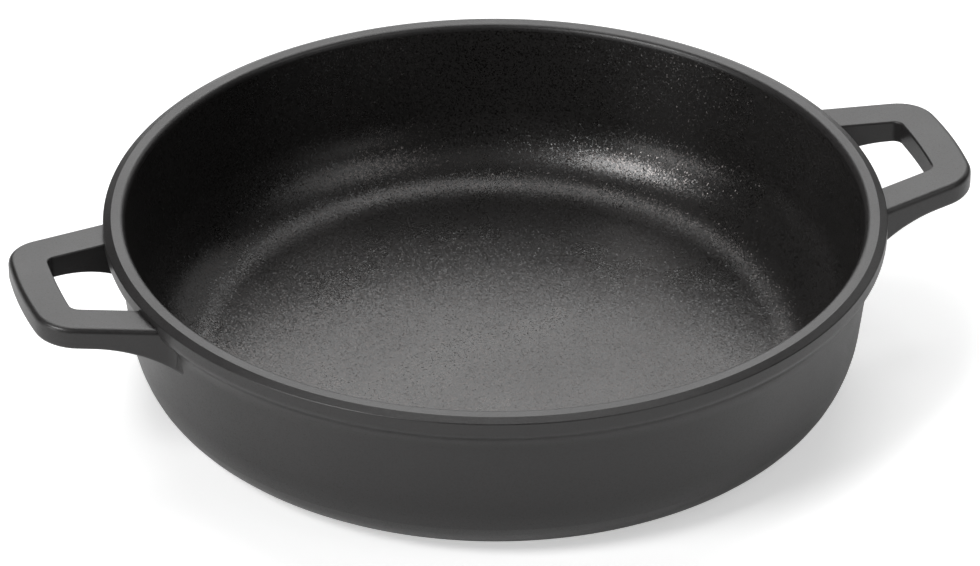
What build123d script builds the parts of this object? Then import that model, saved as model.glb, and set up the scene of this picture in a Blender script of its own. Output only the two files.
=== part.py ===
from build123d import *
import os
from math import cos, radians, sin, tan

# Shallow two-handled cast pan, in millimetres.
# Origin: centre of the base, on the surface the pan stands on. +Z up, handles along X.

# Driving sizes of the bowl
mouth_radius = 139.0
pan_height = 69.8
rim_land = 5.1
rim_shoulder = 3.0
rim_inner_round = 1.9
lip_depth = 7.0
lip_lower_round = 3.0
lip_cove = 8.0
wall_draft = 7.0
wall_thickness = 4.35
belly_draft = 23.0
belly_radius = 40.0
outer_corner_radius = 24.3
inner_corner_radius = 19.5
base_thickness = 8.4

# Driving sizes of the turned underside
ring_inner_radius = 24.0
recess_depth = 0.8
groove_count = 9
groove_width = 1.6
groove_depth = 0.4
groove_margin = 6.0

# Driving size of the coat inside the bowl
coat_thickness = 0.3
coat_edge_drop = 2.3

# Driving sizes of the loop handles
handle_reach = 37.0
handle_root_drop = 3.4
handle_rise = 3.8
handle_thickness = 9.0
handle_root_half_width = 39.1
handle_side_taper = 14.0
handle_end_bow = 175.0
handle_corner_radius = 16.2
handle_shoulder = 2.3
handle_lower_round = 1.8
leg_width = 15.5
end_bar_width = 14.8
hole_end_bow = 248.0
hole_corner_radius = 4.0
hole_edge_round = 0.8
gusset_start = 17.5
gusset_radius = 55.0
gusset_turn = 44.0
handle_root_blend = 2.2
handle_root_sink = 0.05

# Places worked out from the driving sizes
rim_land_radius = mouth_radius + rim_land
lip_radius = rim_land_radius + rim_shoulder
draft_slope = tan(radians(wall_draft))
belly_slope = tan(radians(belly_draft))
rise_slope = tan(radians(handle_rise))
taper_slope = tan(radians(handle_side_taper))
handle_tip = lip_radius + handle_reach


def inner_radius(z, skin=0.0):
    """Radius of the drafted inner wall at height z, behind a skin of the given thickness."""
    return mouth_radius - (pan_height - z) * draft_slope + skin / cos(radians(wall_draft))


def wall_radius(z):
    """Radius of the drafted outer wall at height z."""
    return inner_radius(z, wall_thickness)


def arc_reach(radius, turn):
    """Length from a sharp corner that turns by an angle to the start of its round."""
    return radius * tan(radians(turn / 2))


def belly_points():
    """Corners under the straight wall: the foot on the base and the belly above it, with rounds."""
    foot_reach = arc_reach(outer_corner_radius, 90 - belly_draft)
    length = foot_reach + arc_reach(belly_radius, belly_draft - wall_draft) + wall_thickness / 8
    belly_height = length * cos(radians(belly_draft))
    belly = wall_radius(belly_height)
    foot = belly - belly_height * belly_slope
    return [((foot, 0), outer_corner_radius), ((belly, belly_height), belly_radius)]


def contact_radius():
    """Outer radius of the flat ring that the pan stands on."""
    (foot, z), corner = belly_points()[0]
    return foot - arc_reach(corner, 90 - belly_draft)


def groove_radii():
    """Middle radii of the turned grooves, evenly spaced over the contact ring."""
    first = ring_inner_radius + groove_margin
    step = (contact_radius() - groove_margin - first) / (groove_count - 1)
    return [first + step * i for i in range(groove_count)]


def underside_points():
    """Recessed middle and grooved contact ring, from the axis outwards."""
    points = [(0, recess_depth), (ring_inner_radius, recess_depth), (ring_inner_radius, 0)]
    for radius in groove_radii():
        points.append((radius - groove_width / 2, 0))
        points.append((radius - groove_width / 4, groove_depth))
        points.append((radius + groove_width / 4, groove_depth))
        points.append((radius + groove_width / 2, 0))
    return [(point, 0) for point in points]


def outside_points():
    """Belly, wall and flared lip up to the flat rim, each corner with its round."""
    lip_bottom = pan_height - lip_depth
    flare = (lip_radius - wall_radius(lip_bottom)) / (1 - draft_slope)
    lip_foot = lip_bottom - flare
    return belly_points() + [
        ((wall_radius(lip_foot), lip_foot), lip_cove),
        ((lip_radius, lip_bottom), lip_lower_round),
        ((lip_radius, pan_height), rim_shoulder),
    ]


def revolved(points):
    """Solid of revolution about Z from ((radius, height), corner round) pairs."""
    with BuildPart() as turned:
        with BuildSketch(Plane.XZ):
            with BuildLine():
                FilletPolyline([p for p, r in points], radius=[r for p, r in points], close=True)
            make_face()
        revolve(axis=Axis.Z)
    return turned.part


def envelope():
    """Outer form of the bowl as if it were solid, which the handles are cut to."""
    return revolved([((0, 0), 0)] + outside_points() + [((0, pan_height), 0)])


def straight_wall_start():
    """Height where the belly's round ends and the straight wall begins."""
    (belly, height), round_radius = belly_points()[1]
    return height + arc_reach(round_radius, belly_draft - wall_draft)


def blend_wall_radius(z):
    """Radius of the wall that the handles are blended into, a hair under the real one's surface."""
    return wall_radius(z) - handle_root_sink


def plain_wall():
    """Straight wall as if it were solid and had no lip, for blending the handles into it."""
    low, high = straight_wall_start(), pan_height - rim_inner_round / 2
    corners = [(0, low), (blend_wall_radius(low), low), (blend_wall_radius(high), high), (0, high)]
    return revolved([(corner, 0) for corner in corners])


def pan_body():
    """Bowl casting: turned base, drafted wall, flared lip, flat rim and a seat for the coat."""
    coat_edge = pan_height - coat_edge_drop
    floor = base_thickness - coat_thickness
    points = underside_points() + outside_points()
    points.append(((mouth_radius, pan_height), rim_inner_round))
    points.append(((inner_radius(coat_edge), coat_edge), 0))
    points.append(((inner_radius(coat_edge, coat_thickness), coat_edge), 0))
    points.append(((inner_radius(floor, coat_thickness), floor), inner_corner_radius + coat_thickness))
    points.append(((0, floor), 0))
    return revolved(points)


def nonstick_lining():
    """Coat that lies on the casting from the middle of the floor to just under the rim."""
    coat_edge = pan_height - coat_edge_drop
    floor = base_thickness - coat_thickness
    return revolved([
        ((0, floor), 0),
        ((inner_radius(floor, coat_thickness), floor), inner_corner_radius + coat_thickness),
        ((inner_radius(coat_edge, coat_thickness), coat_edge), 0),
        ((inner_radius(coat_edge), coat_edge), 0),
        ((inner_radius(base_thickness), base_thickness), inner_corner_radius),
        ((0, base_thickness), 0),
    ])


def handle_top(x):
    """Height of the handle's flat top at x, rising gently away from the lip."""
    return pan_height - handle_root_drop + (x - lip_radius) * rise_slope


def handle_side():
    """Side profile: flat top, parallel underside, and an arched gusset down to the wall."""
    start_x = lip_radius + gusset_start
    slope = (-cos(radians(handle_rise)), -sin(radians(handle_rise)))
    far_x = handle_tip + handle_thickness
    with BuildSketch(Plane.XZ) as side:
        with BuildLine():
            under = Line((far_x, handle_top(far_x) - handle_thickness),
                         (start_x, handle_top(start_x) - handle_thickness))
            gusset = JernArc(under @ 1, slope, gusset_radius, gusset_turn)
            inner_x = (gusset @ 1).X
            Polyline(gusset @ 1, (inner_x, handle_top(inner_x)), (far_x, handle_top(far_x)), under @ 0)
        make_face()
    return side.sketch


def loop_plan(half_width, tip, bow, corner):
    """Plan of a tapered loop about the X axis, with a bowed end and rounded corners."""
    start_x = lip_radius / 2
    start_half = half_width + (lip_radius - start_x) * taper_slope
    far = tip + corner
    with BuildSketch() as plan:
        with BuildLine():
            far_half = start_half - (far - start_x) * taper_slope
            Polyline((start_x, -start_half), (far, -far_half), (far, far_half),
                     (start_x, start_half), (start_x, -start_half))
        make_face()
        with Locations((tip - bow, 0)):
            Circle(bow, mode=Mode.INTERSECT)
        corners = plan.vertices().group_by(Axis.X)[-1]
        fillet(corners, corner)
    return plan.sketch


def perimeter(solid, side):
    """Edges round the handle's top (+1) or underside (-1), without those at its root."""
    faces = [face for face in solid.faces() if face.normal_at().Z * side > 0.2]
    edges = [edge for face in faces for edge in face.edges()]
    lone = [edge for edge in edges if sum(edge.is_same(other) for other in edges) == 1]
    return [edge for edge in lone if edge.center().X > lip_radius - leg_width]


def loop_blank():
    """Handle without its finger hole, with the shoulder on top and the round underneath."""
    plan = loop_plan(handle_root_half_width, handle_tip, handle_end_bow, handle_corner_radius)
    blank = extrude(plan, pan_height) & extrude(handle_side(), pan_height, both=True)
    blank = fillet(perimeter(blank, 1), handle_shoulder)
    return fillet(perimeter(blank, -1), handle_lower_round)


def finger_hole():
    """Cutter for the hole between the legs, the end bar and the bowl."""
    plan = loop_plan(handle_root_half_width - leg_width, handle_tip - end_bar_width,
                     hole_end_bow, hole_corner_radius)
    return extrude(plan, pan_height)


def hole_edges(loop, cutter):
    """Upper and lower edges of the finger hole, without the upright ones in its corners."""
    found = []
    for edge in loop.edges():
        upright = abs(edge.tangent_at(0.5).Z) > 0.9
        if not upright and cutter.distance_to(edge @ 0.5) < 0.001:
            found.append(edge)
    return found


def root_edges(solid):
    """Edges where the handle meets the plain wall, between the belly and the rim."""
    low = straight_wall_start() + handle_root_sink
    found = []
    for edge in solid.edges():
        points = [edge @ t for t in (0.0, 0.25, 0.5, 0.75, 1.0)]
        on_wall = all(abs((p.X ** 2 + p.Y ** 2) ** 0.5 - blend_wall_radius(p.Z)) < 0.02 for p in points)
        at_handle = all(p.X > lip_radius / 2 and low < p.Z < pan_height for p in points)
        if on_wall and at_handle:
            found.append(edge)
    return found


def loop_handle():
    """Right-hand loop handle, ending face to face on the lip and wall of the bowl."""
    cutter = finger_hole()
    loop = loop_blank() - cutter
    loop = fillet(hole_edges(loop, cutter), hole_edge_round)
    joined = plain_wall() + loop
    joined = fillet(root_edges(joined), handle_root_blend)
    return joined - envelope()


def main():
    handle = loop_handle()
    parts = {
        "pan_body": pan_body(),
        "nonstick_lining": nonstick_lining(),
        "right_handle": handle,
        "left_handle": handle.rotate(Axis.Z, 180),
    }
    os.makedirs("parts", exist_ok=True)
    for name, part in parts.items():
        export_step(part, f"parts/{name}.step")


main()
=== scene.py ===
# Shallow two-handled cast pan on a white table, under soft studio light from behind.
import math

import bmesh
import bpy
from mathutils import Matrix, Vector


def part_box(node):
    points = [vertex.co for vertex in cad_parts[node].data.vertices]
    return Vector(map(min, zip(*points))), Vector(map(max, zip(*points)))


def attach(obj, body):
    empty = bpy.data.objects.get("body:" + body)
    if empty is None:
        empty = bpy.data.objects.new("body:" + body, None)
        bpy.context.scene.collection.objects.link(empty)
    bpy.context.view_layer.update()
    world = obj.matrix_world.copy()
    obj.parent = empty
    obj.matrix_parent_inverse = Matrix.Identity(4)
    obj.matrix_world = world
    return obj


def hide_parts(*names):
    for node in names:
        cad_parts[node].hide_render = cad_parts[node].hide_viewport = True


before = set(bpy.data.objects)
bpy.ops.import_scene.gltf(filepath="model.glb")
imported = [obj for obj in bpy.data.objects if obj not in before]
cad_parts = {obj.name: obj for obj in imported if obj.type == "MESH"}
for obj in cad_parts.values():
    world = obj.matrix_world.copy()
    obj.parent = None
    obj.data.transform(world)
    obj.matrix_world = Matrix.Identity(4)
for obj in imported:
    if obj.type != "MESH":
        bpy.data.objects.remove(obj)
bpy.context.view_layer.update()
scene = bpy.context.scene
metre = 1000.0                 # in millimetres, which all sizes below are given in
print("frame loaded:", sorted(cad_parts))

# sizes that the bowl, its lining and the handles share
bowl = {
    "height": 69.8,
    "mouthRadius": 139.0,
    "draft": 7.0,              # degrees the wall leans outwards
    "wallThickness": 4.35,
    "floorThickness": 8.4,
    "floorRound": 29.0,        # between the floor and the wall, inside
    "coatThickness": 0.3,
    "coatEdgeDrop": 2.3,       # from the rim down to the edge of the lining
    "stepsAround": 288,
    "roundStep": 7.0,          # degrees of a round to each of its facets
    "mergeDistance": 0.002,
}
rim = {
    "land": 5.1,               # flat top of the rim
    "innerRound": 2.4,
    "bevelAcross": 3.0,        # bevel between the flat top and the lip's side
    "bevelDown": 1.45,
    "bevelTopRound": 0.6,
    "bevelLowRound": 0.6,
    "lipDepth": 7.0,
    "lipLowerRound": 4.5,
    "lipCove": 14.0,
}
belly = {"draft": 23.0, "round": 40.0, "footRound": 24.3, "straight": 0.54}
underside = {
    "ringInner": 24.0,
    "recess": 0.8,
    "grooves": 9,
    "grooveWidth": 1.6,
    "grooveDepth": 0.4,
    "margin": 6.0,
}
lipRadius = bowl["mouthRadius"] + rim["land"] + rim["bevelAcross"]


def tangent(degrees):
    return math.tan(math.radians(degrees))


def innerRadius(height, skin=0.0):
    lean = (bowl["height"] - height) * tangent(bowl["draft"])
    return bowl["mouthRadius"] - lean + skin / math.cos(math.radians(bowl["draft"]))


def wallRadius(height):
    return innerRadius(height, bowl["wallThickness"])


def roundedChain(bm, corners):
    # a line of vertices through (x, z, round) corners, each round made by spinning a vertex
    spots = [Vector((x, 0, z)) / metre for x, z, r in corners]
    chain = []
    for i, (x, z, r) in enumerate(corners):
        here = spots[i]
        if not r:
            chain.append(bm.verts.new(here))
            continue
        back = (spots[i - 1] - here).normalized()
        onward = (spots[i + 1] - here).normalized()
        turn = math.pi - back.angle(onward)
        reach = r / metre * math.tan(turn / 2)
        centre = here + (back + onward).normalized() * r / metre / math.cos(turn / 2)
        first = bm.verts.new(here + back * reach)
        count = max(3, round(math.degrees(turn) / bowl["roundStep"]))
        before = set(bm.verts)
        axis = (back * -1).cross(onward).normalized()
        bmesh.ops.spin(bm, geom=[first], cent=centre, axis=axis, angle=turn, steps=count,
                       dvec=(0, 0, 0), use_duplicate=False)
        added = [v for v in bm.verts if v not in before]
        added.sort(key=lambda v: (v.co - first.co).length)
        chain += [first] + added
    for a, b in zip(chain, chain[1:]):
        if not bm.edges.get((a, b)):
            bm.edges.new((a, b))
    return chain


def spinClosed(bm, chain):
    # a full turn about the middle of the pan, with the pole closed
    edges = [bm.edges.get(pair) for pair in zip(chain, chain[1:])]
    bmesh.ops.spin(bm, geom=chain + edges, cent=(0, 0, 0), axis=(0, 0, 1), angle=math.tau,
                   steps=bowl["stepsAround"], dvec=(0, 0, 0), use_merge=True,
                   use_duplicate=False)
    bmesh.ops.remove_doubles(bm, verts=bm.verts, dist=bowl["mergeDistance"] / metre)


def finishMesh(bm, name, material, node, creaseAngle=35):
    # smooth faces, sharp creases, normals outwards, and the piece in place of its CAD node
    bmesh.ops.recalc_face_normals(bm, faces=bm.faces)
    for face in bm.faces:
        face.smooth = True
    for edge in bm.edges:
        edge.smooth = edge.calc_face_angle(0) < math.radians(creaseAngle)
    mesh = bpy.data.meshes.new(name)
    bm.to_mesh(mesh)
    bm.free()
    mesh.materials.append(material)
    piece = bpy.data.objects.new(name, mesh)
    scene.collection.objects.link(piece)
    weighted = piece.modifiers.new("evenShading", "WEIGHTED_NORMAL")
    weighted.keep_sharp = True
    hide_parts(node)
    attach(piece, "root")
    print(name, len(mesh.vertices), "vertices")


def bellyCorners():
    # the two rounded corners under the wall, and where the contact ring ends
    footReach = belly["footRound"] * tangent((90 - belly["draft"]) / 2)
    bellyReach = belly["round"] * tangent((belly["draft"] - bowl["draft"]) / 2)
    length = footReach + bellyReach + belly["straight"]
    height = length * math.cos(math.radians(belly["draft"]))
    radius = wallRadius(height)
    foot = radius - height * tangent(belly["draft"])
    return [(foot, 0, belly["footRound"]), (radius, height, belly["round"])], foot - footReach


def panProfile():
    low, contactRadius = bellyCorners()
    first = underside["ringInner"] + underside["margin"]
    step = (contactRadius - underside["margin"] - first) / (underside["grooves"] - 1)
    line = [(0, underside["recess"], 0),
            (underside["ringInner"], underside["recess"], 0),
            (underside["ringInner"], 0, 0)]
    half = underside["grooveWidth"] / 2
    for i in range(underside["grooves"]):
        middle = first + step * i
        line += [(middle - half, 0, 0),
                 (middle - half / 2, underside["grooveDepth"], 0),
                 (middle + half / 2, underside["grooveDepth"], 0),
                 (middle + half, 0, 0)]
    lipBottom = bowl["height"] - rim["lipDepth"]
    flare = (lipRadius - wallRadius(lipBottom)) / (1 - tangent(bowl["draft"]))
    lipFoot = lipBottom - flare
    line += low
    line += [(wallRadius(lipFoot), lipFoot, rim["lipCove"]),
             (lipRadius, lipBottom, rim["lipLowerRound"]),
             (lipRadius, bowl["height"] - rim["bevelDown"], rim["bevelLowRound"]),
             (lipRadius - rim["bevelAcross"], bowl["height"], rim["bevelTopRound"]),
             (bowl["mouthRadius"], bowl["height"], rim["innerRound"])]
    edge = bowl["height"] - bowl["coatEdgeDrop"]
    seat = bowl["floorThickness"] - bowl["coatThickness"]
    skin = bowl["coatThickness"]
    line += [(innerRadius(edge), edge, 0),
             (innerRadius(edge, skin), edge, 0),
             (innerRadius(seat, skin), seat, bowl["floorRound"] + skin),
             (0, seat, 0)]
    return line


def liningProfile():
    edge = bowl["height"] - bowl["coatEdgeDrop"]
    floor = bowl["floorThickness"]
    seat = floor - bowl["coatThickness"]
    skin = bowl["coatThickness"]
    return [(0, seat, 0),
            (innerRadius(seat, skin), seat, bowl["floorRound"] + skin),
            (innerRadius(edge, skin), edge, 0),
            (innerRadius(edge), edge, 0),
            (innerRadius(floor), floor, bowl["floorRound"]),
            (0, floor, 0)]


# finishes: flakes and grains in millimetres, tilts as slopes
coatFinish = {
    "darkTone": (0.021, 0.020, 0.020, 1),
    "paleTone": (0.031, 0.0296, 0.0296, 1),
    "flakeTone": (0.065, 0.063, 0.062, 1),
    "wornTone": (0.14, 0.137, 0.135, 1),
    "wornBelow": 0.3,          # height up to which the pan is rubbed by what it stands on
    "grainSize": 0.8,
    "grainHeight": 0.012,
    "rippleSize": 6.0,
    "rippleHeight": 0.012,
    "flakeSize": 0.4,
    "flakeShare": 0.10,
    "flakeTilt": 0.12,
    "smooth": 0.32,
    "rough": 0.41,
}
liningFinish = {
    "darkTone": (0.013, 0.0125, 0.0122, 1),
    "paleTone": (0.024, 0.0228, 0.0222, 1),
    "flakeTone": (0.080, 0.074, 0.072, 1),
    "grainSize": 0.7,
    "grainHeight": 0.018,
    "rippleSize": 9.0,
    "rippleHeight": 0.010,
    "flakeSize": 0.45,
    "flakeShare": 0.36,
    "flakeTilt": 0.36,
    "smooth": 0.25,
    "rough": 0.32,
}
# what both finishes share: noise scales per metre, and the parts of each noise that are used
sharedFinish = {
    "patchScale": 24.0,
    "rubScale": 130.0,
    "noiseRange": (0.3, 0.7),
    "rubRange": (0.45, 0.62),
    "patchShare": 0.4,         # of the change of tone, the rest comes from the grains
    "flatShare": 0.6,          # of the grains that keep to a quarter of the full tilt
    "wornFade": 0.3,
}


def addNode(tree, kind, sockets=None, **settings):
    made = tree.nodes.new("ShaderNode" + kind)
    for name, value in settings.items():
        setattr(made, name, value)
    for name, value in (sockets or {}).items():
        if isinstance(value, bpy.types.NodeSocket):
            tree.links.new(value, made.inputs[name])
        else:
            made.inputs[name].default_value = value
    return made


def mixTones(tree, share, first, second):
    # the numbered sockets are the factor, the two colours and the mixed colour
    mix = addNode(tree, "Mix", data_type="RGBA")
    tree.links.new(share, mix.inputs[0])
    for place, tone in ((6, first), (7, second)):
        if isinstance(tone, bpy.types.NodeSocket):
            tree.links.new(tone, mix.inputs[place])
        else:
            mix.inputs[place].default_value = tone
    return mix.outputs[2]


def spread(tree, value, low, high, first=0.0, second=1.0):
    ranged = addNode(tree, "MapRange", {"Value": value, "From Min": low, "From Max": high,
                                        "To Min": first, "To Max": second})
    return ranged.outputs["Result"]


def rubbedTone(tree, place, tone, finish):
    # rubbed where the pan stands on things
    height = addNode(tree, "SeparateXYZ", {"Vector": place}).outputs["Z"]
    worn = finish["wornBelow"] / metre
    touch = spread(tree, height, worn, worn - sharedFinish["wornFade"] / metre)
    rub = addNode(tree, "TexNoise", {"Vector": place, "Scale": sharedFinish["rubScale"],
                                     "Detail": 5.0})
    rubbed = spread(tree, rub.outputs["Fac"], *sharedFinish["rubRange"])
    share = addNode(tree, "Math", {0: touch, 1: rubbed}, operation="MULTIPLY")
    return mixTones(tree, share.outputs[0], tone, finish["wornTone"])


def speckledFinish(name, finish):
    material = bpy.data.materials.new(name)
    material.use_nodes = True
    tree = material.node_tree
    shader = tree.nodes["Principled BSDF"]
    place = addNode(tree, "TexCoord").outputs["Object"]
    # tone drifts slowly over the casting and quickly from grain to grain
    low, high = sharedFinish["noiseRange"]
    drift = sharedFinish["patchShare"]
    patches = addNode(tree, "TexNoise", {"Vector": place, "Scale": sharedFinish["patchScale"],
                                         "Detail": 4.0})
    grain = addNode(tree, "TexNoise", {"Vector": place, "Scale": metre / finish["grainSize"],
                                       "Detail": 2.0, "Roughness": 0.6})
    blend = addNode(tree, "Math", {0: spread(tree, patches.outputs["Fac"], low, high, 0, drift),
                                   1: spread(tree, grain.outputs["Fac"], low, high, 0, 1 - drift)},
                    operation="ADD")
    tone = mixTones(tree, blend.outputs[0], finish["darkTone"], finish["paleTone"])
    # metal flakes in the coat
    cells = addNode(tree, "TexVoronoi", {"Vector": place, "Scale": metre / finish["flakeSize"]})
    pick = addNode(tree, "SeparateColor", {"Color": cells.outputs["Color"]})
    share = finish["flakeShare"]
    flakes = spread(tree, pick.outputs["Red"], 1 - share, 1 - share / 2)
    tone = mixTones(tree, flakes, tone, finish["flakeTone"])
    tree.links.new(flakes, shader.inputs["Metallic"])
    if "wornBelow" in finish:
        tone = rubbedTone(tree, place, tone, finish)
    tree.links.new(tone, shader.inputs["Base Color"])
    gloss = spread(tree, patches.outputs["Fac"], low, high, finish["smooth"], finish["rough"])
    tree.links.new(gloss, shader.inputs["Roughness"])
    # fine grain on soft ripples
    ripples = addNode(tree, "TexNoise", {"Vector": place, "Scale": metre / finish["rippleSize"],
                                         "Detail": 2.0})
    soft = addNode(tree, "Bump", {"Height": ripples.outputs["Fac"], "Strength": 1.0,
                                  "Distance": finish["rippleHeight"] / metre})
    fine = addNode(tree, "Bump", {"Height": grain.outputs["Fac"], "Strength": 1.0,
                                  "Distance": finish["grainHeight"] / metre,
                                  "Normal": soft.outputs["Normal"]})
    # every grain lies at its own small tilt and a few lean further, so that they glint alone
    lean = addNode(tree, "VectorMath", {0: cells.outputs["Color"], 1: (0.5, 0.5, 0.5)},
                   operation="SUBTRACT")
    tilt = spread(tree, pick.outputs["Blue"], sharedFinish["flatShare"], 1.0,
                  finish["flakeTilt"] / 4, finish["flakeTilt"])
    lean = addNode(tree, "VectorMath", {0: lean.outputs[0], "Scale": tilt}, operation="SCALE")
    facing = addNode(tree, "VectorMath", {0: fine.outputs["Normal"], 1: lean.outputs[0]},
                     operation="ADD")
    facing = addNode(tree, "VectorMath", {0: facing.outputs[0]}, operation="NORMALIZE")
    tree.links.new(facing.outputs[0], shader.inputs["Normal"])
    return material


castCoat = speckledFinish("castCoat", coatFinish)
nonstick = speckledFinish("nonstick", liningFinish)
print("finishes made")

# bowl casting and its lining
bm = bmesh.new()
spinClosed(bm, roundedChain(bm, panProfile()))
finishMesh(bm, "panBody", castCoat, "pan_body")

bm = bmesh.new()
spinClosed(bm, roundedChain(bm, liningProfile()))
finishMesh(bm, "nonstickLining", nonstick, "nonstick_lining")

# loop handles
handle = {
    "reach": 36.99,            # from the lip to the end of the loop
    "rootDrop": 3.4,           # from the rim down to the handle's top, at the lip
    "rise": 3.8,               # degrees the top climbs away from the bowl
    "thickness": 9.0,
    "rootHalfWidth": 39.1,
    "taper": 14.0,             # degrees the sides lean together
    "endBow": 175.0,
    "cornerRound": 16.2,
    "shoulder": 2.3,
    "lowerRound": 1.8,
    "legWidth": 15.5,
    "barWidth": 14.8,
    "holeBow": 248.0,
    "holeCorner": 4.0,
    "holeEdge": 0.8,
    "gussetStart": 17.5,
    "gussetRadius": 55.0,
    "rootSink": 1.2,           # how far the legs reach into the bowl's wall
    "rootHeight": 55,          # where the legs' length is measured on the leaning wall
    "rootSpread": 4,           # how much wider half the loop is there than at the lip
    "rootBlend": 3.4,          # round between the legs' sides and the wall
    "underBlend": 0.35,        # share of it that the underside gets
    "blendReach": 146.5,       # from the middle of the pan to where the blend has ended
}
# facets of the handles
handleSteps = {
    "side": 15,
    "corner": 9,
    "bow": 7,
    "shoulder": 5,
    "lower": 4,
    "hole": 3,
    "blend": 28,
    "blendStart": 0.1315,      # in metres
    "blendStep": 0.0005,
}


def handleTop(x):
    return bowl["height"] - handle["rootDrop"] + (x - lipRadius) * tangent(handle["rise"])


def handleUnder(x):
    # flat under the loop, then an arch down to the wall
    start = lipRadius + handle["gussetStart"]
    if x >= start:
        return handleTop(x) - handle["thickness"]
    rise, radius = math.radians(handle["rise"]), handle["gussetRadius"]
    archX = start + radius * math.sin(rise)
    archZ = handleTop(start) - handle["thickness"] - radius * math.cos(rise)
    return archZ + math.sqrt(radius ** 2 - (x - archX) ** 2)


def loopLine(bm, halfWidth, tip, bow, corner):
    # half the outline of the loop: straight side, corner round and bowed end, as one line
    lean = math.radians(handle["taper"])
    along = Vector((math.cos(lean), -math.sin(lean), 0))
    inward = Vector((-math.sin(lean), -math.cos(lean), 0))
    sidePoint = Vector((lipRadius, halfWidth, 0))
    bowCentre = Vector((tip - bow, 0, 0))
    # the corner's centre runs along the side until it touches the bow from inside
    offset = sidePoint + inward * corner - bowCentre
    b = offset.dot(along)
    run = math.sqrt(b * b - offset.length_squared + (bow - corner) ** 2) - b
    cornerCentre = sidePoint + inward * corner + along * run
    cornerStart = cornerCentre - inward * corner
    cornerEnd = bowCentre + (cornerCentre - bowCentre).normalized() * bow
    rootReach = wallRadius(handle["rootHeight"]) - handle["rootSink"]
    rootX = math.sqrt(rootReach ** 2 - (halfWidth + handle["rootSpread"]) ** 2)
    root = sidePoint + along * (rootX - lipRadius) / along.x
    start = bm.verts.new(cornerStart / metre)
    turn = (cornerStart - cornerCentre).angle(cornerEnd - cornerCentre)
    made = bmesh.ops.spin(bm, geom=[start], cent=cornerCentre / metre, axis=(0, 0, -1),
                          angle=turn, steps=handleSteps["corner"], dvec=(0, 0, 0))
    turn = (cornerEnd - bowCentre).angle(Vector((1, 0, 0)))
    last = [v for v in made["geom_last"] if isinstance(v, bmesh.types.BMVert)]
    bmesh.ops.spin(bm, geom=last, cent=bowCentre / metre, axis=(0, 0, -1), angle=turn,
                   steps=handleSteps["bow"], dvec=(0, 0, 0))
    side = bm.edges.new((bm.verts.new(root / metre), start))
    bmesh.ops.subdivide_edges(bm, edges=[side], cuts=handleSteps["side"])


def wallGap(point):
    # distance from the bowl's outer wall, and the direction away from it
    turn, lean = math.atan2(point.y, point.x), math.radians(bowl["draft"])
    reach = math.hypot(point.x, point.y) * metre
    gap = (reach - wallRadius(point.z * metre)) * math.cos(lean)
    return gap, Vector((math.cos(turn) * math.cos(lean), math.sin(turn) * math.cos(lean),
                        -math.sin(lean)))


def loopPlate(bm, onOuter, onTop):
    # the loop as a plate, with its top, its arched underside and its ends inside the wall
    loopLine(bm, handle["rootHalfWidth"], lipRadius + handle["reach"], handle["endBow"],
             handle["cornerRound"])
    for v in bm.verts:
        v[onOuter] = 1
    loopLine(bm, handle["rootHalfWidth"] - handle["legWidth"],
             lipRadius + handle["reach"] - handle["barWidth"], handle["holeBow"],
             handle["holeCorner"])
    bmesh.ops.bridge_loops(bm, edges=bm.edges[:])
    bmesh.ops.mirror(bm, geom=bm.verts[:] + bm.edges[:] + bm.faces[:], axis="Y",
                     matrix=Matrix.Identity(4), merge_dist=0.00001)
    for v in bm.verts:
        v[onTop] = 1
    low = bmesh.ops.extrude_face_region(bm, geom=bm.faces[:])
    for v in low["geom"]:
        if isinstance(v, bmesh.types.BMVert):
            v[onTop] = 0
    hair = 0.0001
    rootEnd = min(v.co.x for v in bm.verts if v[onOuter]) + hair
    innerEnd = min(v.co.x for v in bm.verts if not v[onOuter]) + hair
    for v in bm.verts:
        height = handleTop if v[onTop] else handleUnder
        v.co.z = height(v.co.x * metre) / metre
        if v.co.x < (rootEnd if v[onOuter] else innerEnd):
            reach = wallRadius(v.co.z * metre) - handle["rootSink"]
            v.co.x = math.sqrt(reach ** 2 - (v.co.y * metre) ** 2) / metre
            v.co.z = height(v.co.x * metre) / metre
    bmesh.ops.recalc_face_normals(bm, faces=bm.faces)


def roundRings(bm, onOuter, onTop, sharpAngle=0.6):
    # the rings are all found first, because each bevel adds vertices without their marks
    rounds = []
    for outer, top, size, segments in ((1, 1, "shoulder", "shoulder"),
                                       (1, 0, "lowerRound", "lower"),
                                       (0, 1, "holeEdge", "hole"),
                                       (0, 0, "holeEdge", "hole")):
        ring = [e for e in bm.edges
                if all(v[onOuter] == outer and v[onTop] == top for v in e.verts)
                and abs(e.calc_face_angle_signed(0)) > sharpAngle]
        rounds.append((ring, handle[size], handleSteps[segments]))
    for ring, size, segments in rounds:
        bmesh.ops.bevel(bm, geom=ring, offset=size / metre, offset_type="OFFSET",
                        affect="EDGES", segments=segments, profile=0.5, material=-1,
                        loop_slide=True)


def blendRoots(bm):
    # close cuts near the bowl, so that the legs can flare softly into the wall
    for i in range(handleSteps["blend"]):
        cut = handleSteps["blendStart"] + i * handleSteps["blendStep"]
        bmesh.ops.bisect_plane(bm, geom=bm.verts[:] + bm.edges[:] + bm.faces[:],
                               dist=0.0000001, plane_co=(cut, 0, 0), plane_no=(1, 0, 0))
    bm.normal_update()
    blend = handle["rootBlend"]
    moves = {}
    for v in bm.verts:
        if v.co.x > handle["blendReach"] / metre:
            continue
        gap, outward = wallGap(v.co)
        if gap < blend:
            lift = blend - math.sqrt(blend ** 2 - (blend - max(gap, 0)) ** 2)
            slide = v.normal - outward * v.normal.dot(outward)
            slide.z *= handle["underBlend"]
            moves[v] = slide * lift / metre
    for v, move in moves.items():
        v.co += move


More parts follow.
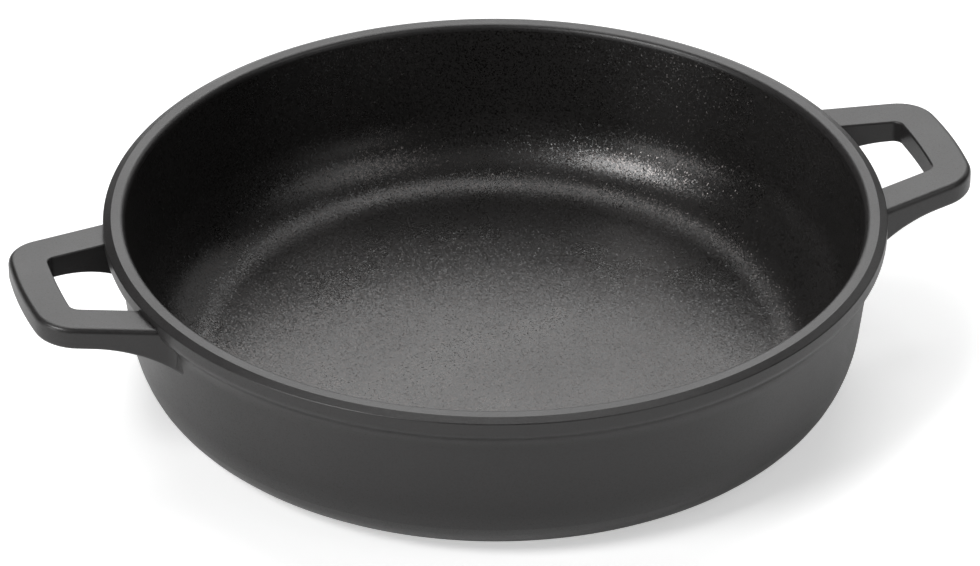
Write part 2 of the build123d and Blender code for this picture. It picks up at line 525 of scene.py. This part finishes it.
def loopHandle():
    bm = bmesh.new()
    onOuter = bm.verts.layers.int.new("outer")
    onTop = bm.verts.layers.int.new("top")
    loopPlate(bm, onOuter, onTop)
    roundRings(bm, onOuter, onTop)
    blendRoots(bm)
    return bm


finishMesh(loopHandle(), "rightHandle", castCoat, "right_handle")
bm = loopHandle()
bmesh.ops.rotate(bm, verts=bm.verts, cent=(0, 0, 0), matrix=Matrix.Rotation(math.pi, 3, "Z"))
finishMesh(bm, "leftHandle", castCoat, "left_handle")

cameraView = {
    "azimuth": -17.63,         # degrees, 0 looks along +Y
    "elevation": 31.1,
    "distance": 2.472,         # metres from the middle of the rim
    "lens": 242.1,
    "sensor": 36.0,
    "clipEnd": 50.0,
    "aimX": -5.1,              # pixels from the middle of the rim to the middle of the picture
    "aimY": 74.9,
    "pictureWidth": 980,
    "roll": 0.1,
}


def placeCamera(view, target):
    data = bpy.data.cameras.new("camera")
    data.lens = view["lens"]
    data.sensor_width = view["sensor"]
    data.clip_end = view["clipEnd"]
    camera = bpy.data.objects.new("camera", data)
    scene.collection.objects.link(camera)
    az = math.radians(view["azimuth"])
    el = math.radians(view["elevation"])
    away = Vector((math.sin(az) * math.cos(el), -math.cos(az) * math.cos(el), math.sin(el)))
    turn = (-away).to_track_quat("-Z", "Y").to_matrix()
    # the optical axis passes a little below the rim, as the picture's middle does
    pixel = data.sensor_width / view["pictureWidth"] / data.lens
    tilt = Matrix.Rotation(math.atan(-view["aimY"] * pixel), 3, "X")
    pan = Matrix.Rotation(math.atan(-view["aimX"] * pixel), 3, "Y")
    roll = Matrix.Rotation(math.radians(view["roll"]), 3, "Z")
    camera.matrix_world = Matrix.Translation(target + away * view["distance"]) @ (
        turn @ tilt @ pan @ roll).to_4x4()
    scene.camera = camera


placeCamera(cameraView, Vector((0, 0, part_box("pan_body")[1].z)))
print("camera placed")

# studio: azimuth in degrees from +X, elevation above the table, power, and apparent size
studio = {
    "behindLow": (72, 20, 0.52, 40),
    "behindHigh": (72, 42, 0.37, 30),
    "behindTop": (72, 64, 1.15, 40),
    "key": (-160, 46, 1.60, 21),
    "leftLow": (-165, 8, 0.78, 30),
    "rightFill": (-46, 48, 0.32, 30),
    "rightLow": (-60, 8, 0.15, 30),
    "topFill": (-107, 58, 0.05, 30),
    "rightBack": (35, 32, 0.16, 30),
}


def addSoftLight(name, azimuth, elevation, power, size):
    data = bpy.data.lights.new(name, "SUN")
    data.energy = power
    data.angle = math.radians(size)
    lamp = bpy.data.objects.new(name, data)
    scene.collection.objects.link(lamp)
    turn, up = math.radians(azimuth), math.radians(elevation)
    toward = Vector((math.cos(turn) * math.cos(up), math.sin(turn) * math.cos(up), math.sin(up)))
    lamp.matrix_world = toward.to_track_quat("Z", "Y").to_matrix().to_4x4()


for name, (azimuth, elevation, power, size) in studio.items():
    addSoftLight(name, azimuth, elevation, power, size)

# table: lift is what the camera sees besides the lit cloth, glow what the pan reflects
table = {"size": 20, "cloth": (0.92, 0.92, 0.92, 1), "lift": 0.50, "glow": 0.12}
white = (1, 1, 1, 1)
bpy.ops.mesh.primitive_plane_add(size=table["size"])
floor = bpy.context.object
floor.name = "table"
cloth = bpy.data.materials.new("tableCloth")
cloth.use_nodes = True
tree = cloth.node_tree
shader = tree.nodes["Principled BSDF"]
shader.inputs["Base Color"].default_value = table["cloth"]
shader.inputs["Roughness"].default_value = 1.0
shader.inputs["Specular IOR Level"].default_value = 0.0
shader.inputs["Emission Color"].default_value = white
ray = addNode(tree, "LightPath")
seen = addNode(tree, "Math", {0: ray.outputs["Is Camera Ray"], 1: table["lift"]},
               operation="MULTIPLY")
mirrored = addNode(tree, "Math", {0: ray.outputs["Is Glossy Ray"], 1: table["glow"],
                                  2: seen.outputs[0]}, operation="MULTIPLY_ADD")
tree.links.new(mirrored.outputs[0], shader.inputs["Emission Strength"])
floor.data.materials.append(cloth)

# the world is white to the camera and gives no light
scene.view_settings.view_transform = "Standard"
world = bpy.data.worlds.new("studio")
world.use_nodes = True
scene.world = world
tree = world.node_tree
ray = addNode(tree, "LightPath")
tree.nodes["Background"].inputs["Color"].default_value = white
tree.links.new(ray.outputs["Is Camera Ray"], tree.nodes["Background"].inputs["Strength"])
print("lights and table set")
